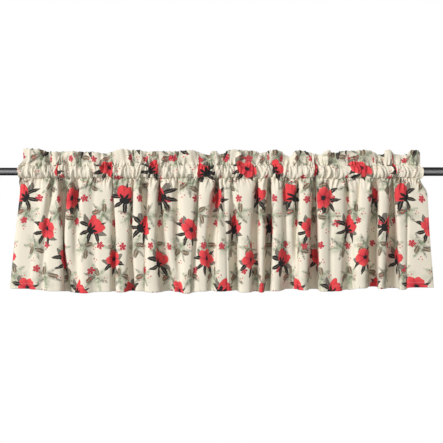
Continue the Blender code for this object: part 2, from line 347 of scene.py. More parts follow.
# The skirt's folds, left to right, in millimetres. x is the middle of a fold or of the
# gap behind it, out is how far it stands in front of the rod's axis (behind it when
# negative), and half is half the width of its nearly flat crest: each at the top of the
# folds, at MIDWAY and at the hem. drop is the hem's depth below the axis.
Fold = namedtuple("Fold", "name x out half drop")
MIDWAY = 0.44                # of the way from FOLD_BEGIN to the hem
FOLDS = [
    Fold("edge_left", (-646, -661, -678), (10, 10, 10), (0, 0, 0), 374),
    Fold("panel_left", (-610, -622, -638), (17, 19, 19), (21, 21, 21), 375),
    Fold("fold_a", (-560, -581, -595), (26, 24, 24), (5, 9, 8), 377),
    Fold("dip_a", (-548, -562, -574), (8, 18, 19), (4, 3, 4), 379),
    Fold("fold_b", (-524, -526, -527), (24, 28, 28), (8, 19, 24), 382),
    Fold("gap_b", (-512, -509, -502), (-18, 2, -16), (7, 1, 7), 387),
    Fold("fold_c", (-482, -487, -482), (20, 23, -4), (7, 10, 3), 389),
    Fold("gap_c", (-468, -464, -466), (-8, 14, 2), (6, 5, 4), 390),
    Fold("fold_d", (-438, -438, -437), (26, 26, 26), (11, 9, 10), 389),
    Fold("dip_d", (-408, -407, -403), (21, 20, 15), (3, 4, 6), 386),
    Fold("fold_e", (-370, -371, -368), (24, 24, 22), (20, 19, 15), 384),
    Fold("gap_e", (-349, -346, -346), (6, 2, 0), (1, 5, 5), 385),
    Fold("fold_f", (-315, -315, -320), (24, 24, 25), (25, 18, 13), 386),
    Fold("gap_f", (-288, -292, -290), (2, 2, -14), (1, 3, 8), 385),
    Fold("fold_g", (-266, -265, -263), (25, 21, 10), (10, 15, 10), 384),
    Fold("gap_g", (-247, -243, -246), (-8, 16, 8), (7, 2, 2), 385),
    Fold("fold_h", (-218, -220, -218), (26, 27, 26), (13, 11, 20), 386),
    Fold("gap_h", (-199, -194, -167), (-6, -4, -13), (3, 12, 11), 385),
    Fold("fold_i", (-173, -165, -144), (22, 22, 9), (16, 10, 6), 386),
    Fold("dip_i", (-141, -140, -130), (6, 9, 12), (3, 6, 3), 388),
    Fold("fold_j", (-105, -105, -110), (26, 26, 25), (21, 13, 10), 390),
    Fold("dip_j", (-78, -84, -89), (0, 9, 13), (2, 4, 4), 387),
    Fold("fold_k", (-50, -60, -62), (25, 20, 18), (18, 12, 13), 384),
    Fold("gap_k", (-20, -29, -33), (-22, -6, 4), (7, 12, 6), 383),
    Fold("fold_l", (-2, -3, -1), (27, 27, 27), (5, 8, 14), 383),
    Fold("nick_l", (6, 12, 16), (16, 24, 25), (0, 0, 0), 382),
    Fold("fold_m", (19, 20, 22), (24, 21, 22), (8, 4, 3), 382),
    Fold("dip_m", (33, 43, 46), (17, -14, -14), (2, 5, 5), 384),
    Fold("fold_n", (79, 75, 76), (26, 26, 26), (22, 18, 17), 386),
    Fold("gap_n", (113, 108, 110), (-14, -5, -12), (4, 9, 9), 387),
    Fold("fold_o", (131, 129, 128), (21, 21, 14), (10, 9, 5), 388),
    Fold("gap_o", (156, 155, 149), (-28, -28, -22), (6, 9, 8), 387),
    Fold("fold_p", (176, 177, 172), (27, 27, 27), (15, 13, 14), 382),
    Fold("dip_p", (202, 207, 215), (8, 9, -16), (3, 3, 6), 379),
    Fold("fold_q", (221, 221, 228), (23, 14, -18), (12, 5, 4), 379),
    Fold("gap_q", (245, 240, 241), (-8, 2, 2), (3, 3, 3), 378),
    Fold("fold_r", (267, 263, 261), (26, 27, 26), (17, 16, 13), 379),
    Fold("gap_r", (303, 302, 301), (-29, -30, -30), (6, 10, 14), 381),
    Fold("fold_s", (320, 322, 323), (27, 27, 27), (16, 14, 12), 383),
    Fold("dip_s", (350, 349, 351), (19, 19, 19), (4, 3, 4), 384),
    Fold("fold_t", (376, 372, 370), (23, 23, 21), (14, 13, 10), 383),
    Fold("gap_t", (407, 413, 408), (0, 6, -10), (3, 6, 11), 381),
    Fold("fold_u", (420, 424, 423), (20, 16, 6), (9, 2, 1), 379),
    Fold("nick_u", (442, 433, 427), (8, 20, 20), (0, 0, 0), 375),
    Fold("fold_v", (458, 452, 446), (25, 27, 27), (17, 14, 15), 373),
    Fold("gap_v", (498, 495, 494), (-14, -23, -26), (8, 11, 14), 373),
    Fold("fold_w", (517, 513, 508), (26, 26, 26), (16, 14, 10), 375),
    Fold("gap_w", (554, 557, 559), (-14, -22, -24), (5, 11, 16), 377),
    Fold("fold_x", (570, 573, 577), (24, 24, 22), (17, 13, 9), 378),
    Fold("nick_x", (593, 594, 592), (14, 14, 14), (0, 0, 0), 376),
    Fold("panel_right", (618, 624, 631), (21, 21, 21), (21, 27, 34), 371),
    Fold("edge_right", (657, 664, 677), (19, 20, 20), (0, 0, 0), 371),
]

# The heading's upper edge, left to right, in millimetres: x, the height of the edge above
# the rod's axis, and how far it leans out in front of the axis.
Lobe = namedtuple("Lobe", "x top out")
LOBES = [
    Lobe(-636, 74, 5),
    Lobe(-601, 72, 11),
    Lobe(-582, 71, 9),
    Lobe(-566, 65, -5),
    Lobe(-535, 63, 7),
    Lobe(-509, 65, -9),
    Lobe(-476, 64, 9),
    Lobe(-441, 64, -7),
    Lobe(-402, 62, 9),
    Lobe(-380, 58, -11),
    Lobe(-352, 63, 2),
    Lobe(-322, 72, 12),
    Lobe(-295, 69, 0),
    Lobe(-265, 69, 9),
    Lobe(-244, 64, -9),
    Lobe(-210, 65, 9),
    Lobe(-154, 65, -9),
    Lobe(-98, 69, 11),
    Lobe(-73, 63, -5),
    Lobe(-44, 54, -14),
    Lobe(-26, 68, 12),
    Lobe(-2, 55, -12),
    Lobe(30, 70, 14),
    Lobe(69, 67, 6),
    Lobe(108, 66, 7),
    Lobe(128, 60, -14),
    Lobe(156, 67, 9),
    Lobe(184, 68, 11),
    Lobe(219, 48, -14),
    Lobe(242, 68, 12),
    Lobe(282, 63, -3),
    Lobe(319, 54, -14),
    Lobe(338, 68, 12),
    Lobe(364, 60, -8),
    Lobe(390, 66, 9),
    Lobe(424, 67, -3),
    Lobe(463, 69, 11),
    Lobe(492, 63, -3),
    Lobe(517, 53, -14),
    Lobe(533, 71, 12),
    Lobe(561, 58, -11),
    Lobe(592, 54, -12),
    Lobe(617, 70, 12),
    Lobe(639, 64, -2),
]


def mix(a, b, share):
    """The value that lies that share of the way from a to b."""
    return a + (b - a) * share


def ease(share):
    """A share that starts and ends gently."""
    return share * share * (3 - 2 * share)


def rounded(chain, at):
    """Values on the smooth curve along a chain of values, at places counted from the first."""
    chain = np.asarray(chain, float)
    ends = np.concatenate([[2 * chain[0] - chain[1]], chain, [2 * chain[-1] - chain[-2]]])
    start = np.clip(np.floor(at).astype(int), 0, len(chain) - 2)
    f = at - start
    # What four neighbours weigh on a curve that rounds them off, and on one that meets them
    soft = ((1 - f) ** 3, 3 * f**3 - 6 * f**2 + 4, -3 * f**3 + 3 * f**2 + 3 * f + 1, f**3)
    true = (-f**3 + 2 * f**2 - f, 3 * f**3 - 5 * f**2 + 2, -3 * f**3 + 4 * f**2 + f, f**3 - f**2)
    return sum(mix(t / 2, s / 6, ROUNDING) * ends[start + k] for k, (s, t) in enumerate(zip(soft, true)))


crests = [(fold, side) for fold in FOLDS for side in ((-1, 1) if any(fold.half) else (0,))]
x_levels = np.array([np.add(fold.x, np.multiply(side, fold.half)) for fold, side in crests]).T * MM
out_levels = np.array([fold.out for fold, side in crests]).T * MM
drop = np.array([fold.drop for fold, side in crests]) * MM


def hanging(levels, hung):
    """Values that far down from FOLD_BEGIN, running smoothly from top to middle to hem."""
    top, middle, hem = levels
    above, below = (middle - top) / MIDWAY, (hem - middle) / (1 - MIDWAY)
    if hung < 0:
        return top + above * hung
    onward = above * below > 0
    slope = np.where(onward, 2 * above * below / np.where(onward, above + below, 1), 0)
    if hung < MIDWAY:
        start, end, first, last, width = top, middle, above, slope, MIDWAY
    else:
        start, end, first, last, width = middle, hem, slope, below, 1 - MIDWAY
        hung -= MIDWAY
    t = hung / width
    bend = t * (1 - t) * ((1 - t) * (first * width - (end - start)) - t * (last * width - (end - start)))
    return mix(start, end, t) + bend


drawn_in = np.clip(hanging(x_levels, SEAM_HUNG), *SEAM_SPAN)
for _ in range(PULLING_PASSES):
    short = np.maximum(LEAST_STEP - np.diff(drawn_in), 0) / 2
    drawn_in[:-1] -= short
    drawn_in[1:] += short
    drawn_in[[0, -1]] = SEAM_SPAN


def skirt_level(opened, hung, at):
    """x, out and height along one level of the skirt. opened runs from the seam to FOLD_BEGIN,
    and hung from there to the hem, each from 0 to 1."""
    depth = mix(SEAM_DEPTH, 1.0, np.sin(opened * pi / 2) ** DEEPENING) * hanging(out_levels, hung)
    x = mix(drawn_in, hanging(x_levels, hung + SEAM_HUNG * (1 - opened)), ease(opened))
    z = mix(mix(BOTTOM_SEAM, FOLD_BEGIN, opened), -drop, hung)
    return rounded(x, at), rounded(depth, at), rounded(z, at)


def lay_out_columns(samples):
    """Where the finer columns lie on the chain of crests, from 0 to 1 along the seam, and in the
    flat cloth. They are spaced by the cloth and by the seam in equal parts."""
    at = np.linspace(0, len(crests) - 1, samples)
    lengths = np.zeros(len(at))
    for hung in (0.0, 0.5, 1.0):
        x, out, _ = skirt_level(1.0, hung, at)
        walked = np.concatenate([[0], np.cumsum(np.hypot(np.diff(x), np.diff(out)))])
        lengths += walked / walked[-1] / 3
    seam = rounded(drawn_in, at)
    seam = (seam - seam[0]) / (seam[-1] - seam[0])
    even = np.linspace(0, 1, TOP_COLUMNS + 1)
    at_even = np.interp(even, (lengths + seam) / 2, at)
    return at_even, np.interp(at_even, at, seam), (np.interp(at_even, at, lengths) - 0.5) * FLAT_WIDTH


at, share, flat = lay_out_columns(samples=6000)
x_seam = mix(*SEAM_SPAN, share)


def wander(u, *waves):
    """A slow irregular wave along the cloth: each wave is a height, a length and a start."""
    return sum(height * np.sin(tau * u / length + start) for height, length, start in waves)


seam_waver = wander(x_seam, (0.0016, 0.137, 0.4), (0.0012, 0.051, 2.0), (0.0008, 0.023, 1.1))

# The puckers that the two rows of stitching draw up. Each is a soft ridge across its seam, and
# some lengths of a seam have bolder ones than others.
Puckers = namedtuple("Puckers", "place half height up down lean")
MOST_LEAN = 0.45             # sideways, for each metre that a pucker runs up or down
MEAN_BOLDNESS = 0.75
TIP_SPREAD = 0.3             # how much wider a pucker is at its end than at its seam
CREST_POWER = 1.1            # above 1, a pucker's crest is narrower than a cosine's
WALL_PUSH = 0.2              # how much of a pucker is left on a fold's side walls


def drawn_up(seed, count, height, half, up, down):
    """Puckers along a seam, at uneven distances: each size is the least and the most."""
    draw = np.random.default_rng(seed)
    place = mix(*SEAM_SPAN, (np.arange(count) + draw.uniform(0.1, 0.9, count)) / count)
    waves = ((0.2, 0.17, seed), (0.22, 0.067, 2.0 * seed), (0.12, 0.031, 3.1 * seed))
    boldness = MEAN_BOLDNESS + wander(place, *waves)
    sizes = [draw.uniform(*limits, count) for limits in (half, height, up, down, (-MOST_LEAN, MOST_LEAN))]
    return Puckers(place, sizes[0], sizes[1] * boldness, *sizes[2:])


TOP_PUCKERS = drawn_up(3, 175, (0.0060, 0.0140), (0.0024, 0.0044), (0.006, 0.034), (0.020, 0.100))
BOTTOM_PUCKERS = drawn_up(8, 160, (0.0056, 0.0135), (0.0026, 0.0054), (0.014, 0.080), (0.006, 0.060))
HEADING_PLEATS = drawn_up(5, 38, (0.0058, 0.0138), (0.0050, 0.0115), (0.060, 0.160), (0.008, 0.030))

# Broad smooth panels of the heading, left to right, from and to in millimetres
Panel = namedtuple("Panel", "left right")
PANELS = [
    Panel(-645, -589),
    Panel(-448, -387),
    Panel(-331, -293),
    Panel(-115, -59),
    Panel(58, 111),
    Panel(146, 172),
    Panel(367, 405),
    Panel(437, 493),
]
PANEL_REACH = 0.35           # how far up a panel its puckers run, against those beside it
PANEL_HEIGHT = 0.25          # the same of the long pleats' height


def on_a_panel(puckers):
    """Which of the puckers start under a smooth panel."""
    place = puckers.place
    return sum((place > panel.left * MM) & (place < panel.right * MM) for panel in PANELS) > 0


TOP_PUCKERS.up[on_a_panel(TOP_PUCKERS)] *= PANEL_REACH
HEADING_PLEATS.height[on_a_panel(HEADING_PLEATS)] *= PANEL_HEIGHT


def puckered(puckers, above):
    """How far the puckers of one seam stand out along a row that lies that far above it."""
    reach = puckers.up if above > 0 else puckers.down
    left = np.clip(1 - abs(above) / reach, 0, 1)
    tall = (puckers.height * left * (2 - left))[:, None]
    half = (puckers.half * (1 + TIP_SPREAD - TIP_SPREAD * left))[:, None]
    off = (x_seam - (puckers.place + puckers.lean * above)[:, None]) / half
    return (tall * np.cos(np.clip(off, -1, 1) * pi / 2) ** CREST_POWER).max(axis=0)


def level_row(x, out, z, push):
    """Points along one level, pushed out towards the room square to the folds."""
    points = np.stack([x, -out, np.broadcast_to(z, x.shape)], 1)
    along = np.gradient(points[:, :2], axis=0)
    along /= np.linalg.norm(along, axis=1)[:, None]
    square = np.stack([along[:, 1], -along[:, 0]], 1)
    points[:, :2] += square * (push * mix(WALL_PUSH, 1, along[:, 0] ** 2))[:, None]
    return points


def skirt_row(below):
    """The row of cloth that lies that far below the bottom seam."""
    opening = BOTTOM_SEAM - FOLD_BEGIN
    opened = min(below / opening, 1.0)
    hung = max(below - opening, 0.0) / (SKIRT_LENGTH - opening)
    x, out, z = skirt_level(opened, hung, at)
    return level_row(x, out, z + seam_waver * (1 - opened), puckered(BOTTOM_PUCKERS, -below))


# The pocket bulges round the rod between its seams: the lower the power, the blunter at a seam
FRONT_BULGE = (0.75, 1.4)    # its power in front, at the bottom seam and at the top one
BACK_BULGE = 1.2
BACK_PUSH = -0.6             # behind, the puckers sink in by that share of their height


def pocket_row(turn, side):
    """A row round the pocket, from the bottom seam (0) to the top one (1). side is -1 in front."""
    middle, half = (TOP_SEAM + BOTTOM_SEAM) / 2, (TOP_SEAM - BOTTOM_SEAM) / 2
    z = middle - half * np.cos(pi * turn)
    around = np.sin(pi * turn)
    power = mix(*FRONT_BULGE, turn) if side < 0 else BACK_BULGE
    swell = mix(SEAM_GAP, POCKET_DEPTH, around ** power)
    x = mix(x_seam, mix(*POCKET_SPAN, share), around)
    below_top = (turn - 1) * POCKET_CLOTH
    push = puckered(BOTTOM_PUCKERS, turn * POCKET_CLOTH) + puckered(TOP_PUCKERS, below_top)
    push += puckered(HEADING_PLEATS, below_top)
    outwards = 1.0 if side < 0 else mix(1.0, BACK_PUSH, ease(min(around * 2, 1.0)))
    return level_row(x, np.zeros_like(x), z + seam_waver, push * outwards - side * swell)


# The heading stands up from the top seam, and its edge leans to and fro in a ruffle
HEADING_PULL = 0.05          # from a side edge, where the heading is drawn in from its seam
HEADING_OPEN = 0.4           # of the heading's height, where it has taken its edge's width
OVERHANG = 0.45              # how far the ruffle's folds lean over the gaps beside them
LEAN_POWER = 1.2             # above 1, the ruffle leans most near its edge
LAYER_SWELL = 0.0016         # how far each layer bulges from the heading's middle
SWELL_TOP = 0.93             # of the height, above which the layers draw no nearer

x_heading = x_seam.copy()
for place, end, seam_end in zip(SEAM_SPAN, HEADING_SPAN, SEAM_SPAN):
    x_heading += (end - seam_end) * np.exp(-abs(x_seam - place) / HEADING_PULL)
lobe_samples = np.linspace(0, len(LOBES) - 1, 2000)
edge_x, edge_top, edge_out = [rounded(np.array(sizes) * MM, lobe_samples) for sizes in zip(*LOBES)]
edge_height = np.interp(x_heading, edge_x, edge_top)
edge_height += wander(x_heading, (0.0010, 0.019, 0.7), (0.0008, 0.0093, 2.2))
edge_lean = np.interp(x_heading, edge_x, edge_out)
edge_shift = -OVERHANG * edge_lean * np.gradient(edge_lean, x_heading)


def heading_row(rise, side):
    """A row of the heading, from the top seam (0) to its edge (1). side is -1 in front."""
    x = mix(x_seam, x_heading, ease(min(rise / HEADING_OPEN, 1))) + edge_shift * rise
    z = mix(TOP_SEAM + seam_waver, edge_height, rise)
    apart = abs(side) * (SEAM_GAP + LAYER_SWELL * np.sin(pi * min(rise, SWELL_TOP)))
    push = puckered(TOP_PUCKERS, rise * HEADING_CLOTH) + puckered(HEADING_PLEATS, rise * HEADING_CLOTH)
    return level_row(x, edge_lean * rise ** LEAN_POWER, z, push - np.sign(side) * apart)


# Rows of the whole cloth from the hem up the front, over the edge and down the back. Those of
# the skirt are millimetres below the bottom seam, and the others shares of the way up.
HEM_STITCHED = 343           # the row that the hem is stitched along
HEM_PULL = 0.0006            # how far its stitching draws the cloth in
TUCK = 0.003                 # of the back layer, on below the bottom seam
SKIRT_ROWS = (360, 358, 350, HEM_STITCHED, *range(340, 115, -16), 101, 87, 74, 61, 50)
UPPER_ROWS = (38, 28, 20, 13.5, 8.5, 4.5, 1.6, 0)
POCKET_FRONT = (0.07, 0.17, 0.3, 0.44, 0.58, 0.72, 0.85, 0.94)
HEADING_FRONT = (0.0, 0.05, 0.13, 0.24, 0.38, 0.54, 0.72, 0.88, 0.97)
HEADING_BACK = (0.97, 0.8, 0.45, 0.15, 0.0)
POCKET_BACK = (0.88, 0.65, 0.35, 0.12, 0.0)

rows = [skirt_row(below * MM) for below in SKIRT_ROWS + UPPER_ROWS]
rows += [pocket_row(turn, -1) for turn in POCKET_FRONT]
rows += [heading_row(rise, -1) for rise in HEADING_FRONT]
rows += [heading_row(1.0, 0)]
rows += [heading_row(rise, 1) for rise in HEADING_BACK]
rows += [pocket_row(turn, 1) for turn in POCKET_BACK]
tuck = skirt_row(TUCK)
tuck[:, 1] += 2 * SEAM_GAP
rows.append(tuck)
sheet = np.stack(rows)
HEM_LINE = SKIRT_ROWS.index(HEM_STITCHED)
sheet[HEM_LINE, :, 1] += HEM_PULL

# Creases that folding and handling left in the skirt, in millimetres: soft ridges, or troughs
# where the height is negative.
Crease = namedtuple("Crease", "from_x from_z to_x to_z height half")
CREASES = [
    Crease(-622, -42, -566, -92, -1.4, 10),
    Crease(-640, -196, -590, -190, -1.0, 12),
    Crease(-566, -262, -530, -246, -1.0, 11),
    Crease(-425, -240, -346, -238, 1.2, 11),
    Crease(-344, -30, -339, -68, 2.4, 4),
    Crease(-302, -132, -268, -126, -1.0, 12),
    Crease(-218, -60, -182, -20, -2.2, 5),
    Crease(-157, -30, -132, -80, 2.2, 6),
    Crease(-106, -210, -70, -204, -1.1, 12),
    Crease(30, -28, 43, -52, -2.2, 4),
    Crease(43, -52, 33, -84, -2.0, 4),
    Crease(59, -112, 97, -106, -1.2, 11),
    Crease(176, -240, 204, -252, 1.0, 11),
    Crease(250, -194, 284, -199, -1.1, 12),
    Crease(332, -66, 396, -62, -1.6, 9),
    Crease(404, -34, 416, -80, 2.4, 5),
    Crease(504, -243, 532, -238, -1.1, 12),
    Crease(599, -67, 654, -72, -1.9, 8),
    Crease(604, -50, 640, -56, 1.3, 9),
    Crease(608, -206, 660, -188, -1.0, 13),
]
skirt = sheet[:len(SKIRT_ROWS) + len(UPPER_ROWS)]
for crease in CREASES:
    start = np.array([crease.from_x, crease.from_z]) * MM
    run = np.array([crease.to_x, crease.to_z]) * MM - start
    from_start = skirt[:, :, [0, 2]] - start
    nearest = np.clip(from_start @ run / (run @ run), 0, 1)[:, :, None] * run
    away = np.linalg.norm(from_start - nearest, axis=2) / (crease.half * MM)
    skirt[:, :, 1] -= crease.height * MM * np.exp(-away**2)

up_the_cloth = np.concatenate([[0], np.cumsum(np.linalg.norm(np.diff(sheet, axis=0), axis=2).mean(1))])

FOLD_EDGE = 0.0005           # from a side edge to the column that keeps its fold sharp
TURNED_IN = (SIDE_HEM, SIDE_HEM / 2, 0.0012)   # the columns of a side hem, from the side edge
NARROW_COLUMNS = len(TURNED_IN) + 1            # at each side, with the one at FOLD_EDGE
HEM_GAP = 0.0015             # from the skirt to its turned-up hem, with the side hems between
SIDE_GAP = 0.0009
HEM_ROWS = [4, 3, 2, 1]      # the rows of the skirt that the hem lies behind


def inward(points):
    """The direction towards the cloth's reverse at every point of a grid."""
    across = np.gradient(points, axis=1)
    along = np.gradient(points, axis=0)
    normal = np.cross(across, along)
    return -normal / np.linalg.norm(normal, axis=2)[:, :, None]


def with_side_hems(points, u, gap):
    """A grid with its left and right edges turned over to the reverse."""
    behind = inward(points) * gap[:, None, None]
    left, right = [], []
    spots = np.arange(len(u))
    for depth in TURNED_IN:
        for strip, edge, way in ((left, u[0], 1), (right, u[-1], -1)):
            spot = np.interp(edge + way * depth, u, spots)
            near, part = int(spot), spot - int(spot)
            far = min(near + 1, len(u) - 1)
            strip.append(mix(points[:, near] + behind[:, near], points[:, far] + behind[:, far], part))
    widths = np.array(TURNED_IN)
    close = [
        mix(points[:, [edge]], points[:, [near]], FOLD_EDGE / abs(u[near] - u[edge]))
        for edge, near in ((0, 1), (-1, -2))
    ]
    front = [points[:, :1], close[0], points[:, 1:-1], close[1], points[:, -1:]]
    front_u = [u[:1], u[:1] + FOLD_EDGE, u[1:-1], u[-1:] - FOLD_EDGE, u[-1:]]
    grid = np.concatenate([np.stack(left, 1), *front, np.stack(right[::-1], 1)], axis=1)
    return grid, np.concatenate([u[0] - widths, *front_u, u[-1] + widths[::-1]])


# The skirt below its upper rows has every second column, and its turned-up hem comes first
lower = sheet[:len(SKIRT_ROWS), ::2]
lower_v = up_the_cloth[:len(SKIRT_ROWS)]
turned_up = lower[HEM_ROWS] + HEM_GAP * inward(lower)[HEM_ROWS]
lower_gaps = np.full(len(lower) + len(HEM_ROWS), SIDE_GAP)
lower_gaps[:2 * len(HEM_ROWS) + 1] /= 2
lower, lower_u = with_side_hems(np.concatenate([turned_up, lower]), flat[::2], lower_gaps)
lower_v = np.concatenate([-lower_v[HEM_ROWS], lower_v])
upper = sheet[len(SKIRT_ROWS):]
upper, upper_u = with_side_hems(upper, flat, np.full(len(upper), SIDE_GAP))
upper_v = up_the_cloth[len(SKIRT_ROWS):]


def grid_faces(first, rows, columns):
    """The faces of a grid of points whose first point has that number."""
    return [
        (corner, corner + 1, corner + columns + 1, corner + columns)
        for row in range(rows - 1)
        for corner in range(first + row * columns, first + (row + 1) * columns - 1)
    ]


def bridge_faces(low, high, turned, columns):
    """Faces between a coarse row and a row of twice its columns, both with as many of the narrow
    columns of a side hem at each end."""
    ends = [(0, 0), (turned + columns, turned + 2 * columns)]
    sides = [
        (low + a + k, low + a + k + 1, high + b + k + 1, high + b + k)
        for a, b in ends
        for k in range(turned)
    ]
    middle = [
        (low + k, low + k + 1, high + 2 * k + 2 - turned, high + 2 * k + 1 - turned, high + 2 * k - turned)
        for k in range(turned, turned + columns)
    ]
    return sides + middle


rows_below, columns_below = lower.shape[:2]
rows_above, columns_above = upper.shape[:2]
upper_start = rows_below * columns_below
faces = grid_faces(0, rows_below, columns_below)
faces += grid_faces(upper_start, rows_above, columns_above)
faces += bridge_faces(upper_start - columns_below, upper_start, NARROW_COLUMNS, TOP_COLUMNS // 2)
cloth_mesh = bpy.data.meshes.new("valance_cloth")
cloth_mesh.from_pydata(np.concatenate([lower.reshape(-1, 3), upper.reshape(-1, 3)]).tolist(), [], faces)
flat_points = np.concatenate([
    np.stack(np.meshgrid(u, v), 2).reshape(-1, 2) for u, v in ((lower_u, lower_v), (upper_u, upper_v))
])
corners = np.zeros(len(cloth_mesh.loops), int)
cloth_mesh.loops.foreach_get("vertex_index", corners)
cloth_mesh.uv_layers.new(name="cloth").uv.foreach_set("vector", flat_points[corners].ravel())
cloth_mesh.shade_smooth()
cloth_sheet = placed("valance_sheet", cloth_mesh)


# The print, in millimetres of flat cloth: open red flowers and cups with near-black leaves, sage
# sprigs with brown veined leaves, crimson berries and a few loose dots, on a cream ground.

CREAM = (0.805, 0.745, 0.625, 1)
CORAL = (0.76, 0.050, 0.060, 1)
ROSE = (0.90, 0.11, 0.11, 1)
CRIMSON = (0.52, 0.018, 0.045, 1)
DEEP_RED = (0.33, 0.008, 0.016, 1)
NEAR_BLACK = (0.007, 0.006, 0.0065, 1)
LEAF_GREY = (0.17, 0.15, 0.125, 1)
SAGE = (0.20, 0.27, 0.15, 1)
SMOKE_GREEN = (0.055, 0.070, 0.042, 1)
DRY_BROWN = (0.060, 0.040, 0.026, 1)
DRY_LIGHT = (0.46, 0.37, 0.26, 1)

STAGGER = 0.38               # how far each row is set to the side, as a share of its cells
REPEAT_ACROSS = 3.0          # cells, after which what they draw comes round again
REPEAT_DOWN = 4.0
SHARP = 1.6                  # how fast the ink sets in at the edge of a shape, by the millimetre
FINE_SHARP = 1.8             # the same of needles and berries
STEM_HALF = 0.7              # half the thickness of a frond's stem
NEEDLE_SLANT = 0.75          # how far its needles reach forward, for each millimetre outwards
BRUSH = (0.11, 0.11, 1)      # how fine the unsteadiness of the brush is, to the millimetre
WOBBLE = (6, 6, 0)           # and how far it goes


def tossed_cell_group():
    """Cells in staggered rows, each with its own turn, mirroring and slide, that come round again
    as a roller print does."""
    board, place, width, height, turn, slide, kind = new_group(
        "tossed_cell", "Place:Vector Width Height Turn Slide Kind"
    )
    x, y, _ = board.parts(place)
    down = y / height
    row = down.floor()
    across = x / width + row * STAGGER
    column = across.floor()
    key = board.join(column % REPEAT_ACROSS, row % REPEAT_DOWN, kind)
    draw, draws = board.all_of(board.node("ShaderNodeTexWhiteNoise", key, noise_dimensions="3D"))
    first, second, third = board.parts(draws)
    local_x = (across - column - 0.5) * width + (third - 0.5) * slide
    local_y = (down - row - 0.5) * height + (draw - 0.5) * slide
    centred = board.join(local_x * board.math("SIGN", second - 0.5), local_y)
    turned = board.turned(centred, (first - 0.5) * turn)
    return board.finished(Place=turned, Chance=board.math("FRACT", third * 7.31))


def oval_group():
    """A soft-edged oval. Inside is the place in it, from -1 to 1 each way."""
    board, place, middle, angle, size, edge = new_group(
        "oval", "Place:Vector Middle:Vector Angle Size:Vector Edge"
    )
    inside = board.turned(place - middle, angle * -1.0) / size * (1, 1, 0)
    return board.finished(Mask=((1.0 - inside.length()) / edge).clamped(), Inside=inside)


def leaf_group():
    """A pointed leaf, or a curved stem when it is thin."""
    board, place, foot, angle, length, width, bend = new_group(
        "leaf", "Place:Vector Foot:Vector Angle Length Width Bend"
    )
    x, y, _ = board.parts(board.turned(place - foot, angle * -1.0))
    along = x / length
    arch = along * (1.0 - along) * 4.0
    across = y - arch * bend
    return board.finished(Mask=((arch * width - abs(across)) * SHARP).clamped(), Across=across)


def frond_group():
    """A stem with thin slanting needles along both sides, shorter towards the tip."""
    board, place, foot, angle, length, reach, spacing = new_group(
        "frond", "Place:Vector Foot:Vector Angle Length Reach Spacing"
    )
    x, y, _ = board.parts(board.turned(place - foot, angle * -1.0))
    off = abs(y)
    root = x - off * NEEDLE_SLANT
    along = root / length
    reach *= board.math("SQRT", (1.0 - along).clamped())
    thick = (1.15 - off / board.larger(reach, 0.01)) * 0.45
    needle = (thick - board.math("PINGPONG", root / spacing, 0.5)) * spacing
    drawn = (board.larger(needle, STEM_HALF - off) * FINE_SHARP).clamped()
    return board.finished(Mask=drawn * (along > 0.0) * (along < 1.0))


def berries_group():
    """Five round berries about a sixth. Shine is the light spot on each."""
    board, place, middle, spread, radius = new_group("berries", "Place:Vector Middle:Vector Spread Radius")
    from_middle = (place - middle) * (1, 1, 0)
    x, y, _ = board.parts(from_middle)
    sector = tau / 5
    turn = board.math("WRAP", board.math("ARCTAN2", y, x), sector / 2, -sector / 2)
    away = from_middle.length()
    to_berry = board.join(away * turn.cosine() - spread, away * turn.sine())
    nearest = board.math("MINIMUM", to_berry.length(), away)
    mask = ((radius - nearest) * FINE_SHARP).clamped()
    return board.finished(Mask=mask, Shine=((radius * 0.22 - nearest) * 2.0).clamped())


def open_flower_group():
    """An open flower of five broad petals. Ring runs from 0 in its middle to 1 at the petals' rim,
    Veins fade towards it, and Fold is dark where one petal goes under the next."""
    board, place, radius = new_group("open_flower", "Place:Vector Radius")
    x, y, _ = board.parts(place)
    away = board.join(x, y).length()
    angle = board.math("ARCTAN2", y, x)
    half = tau / 10
    turn = board.math("WRAP", angle, half, -half)
    notch = board.math("POWER", abs(turn) / half, 3.0) * -0.27
    rim = (notch + (angle * 13.0).sine() * 0.022 + 1.0) * radius
    ring = away / rim
    spikes = (angle * 17.0).sine() * 1.9
    return board.finished(
        Mask=((rim - away) * SHARP).clamped(),
        Ring=ring,
        Veins=((angle * 41.0).sine() * (0.95 - ring).clamped()).clamped(),
        Fold=(1.0 - away * (half - turn) * 0.17).clamped(),
        Heart=((radius * 0.23 + spikes - away) * 1.2).clamped(),
    )


tossed_cell, oval, leaf = tossed_cell_group(), oval_group(), leaf_group()
frond, berries, open_flower = frond_group(), berries_group(), open_flower_group()
BLOOM_WIDTH = 232.0          # from flower to flower along a row, which the folds half hide
BLOOM_HEIGHT = 101.0         # from row to row
BLOOM_SHIFT = 55.0
ANY_WAY = 6.2                # a whole turn, nearly


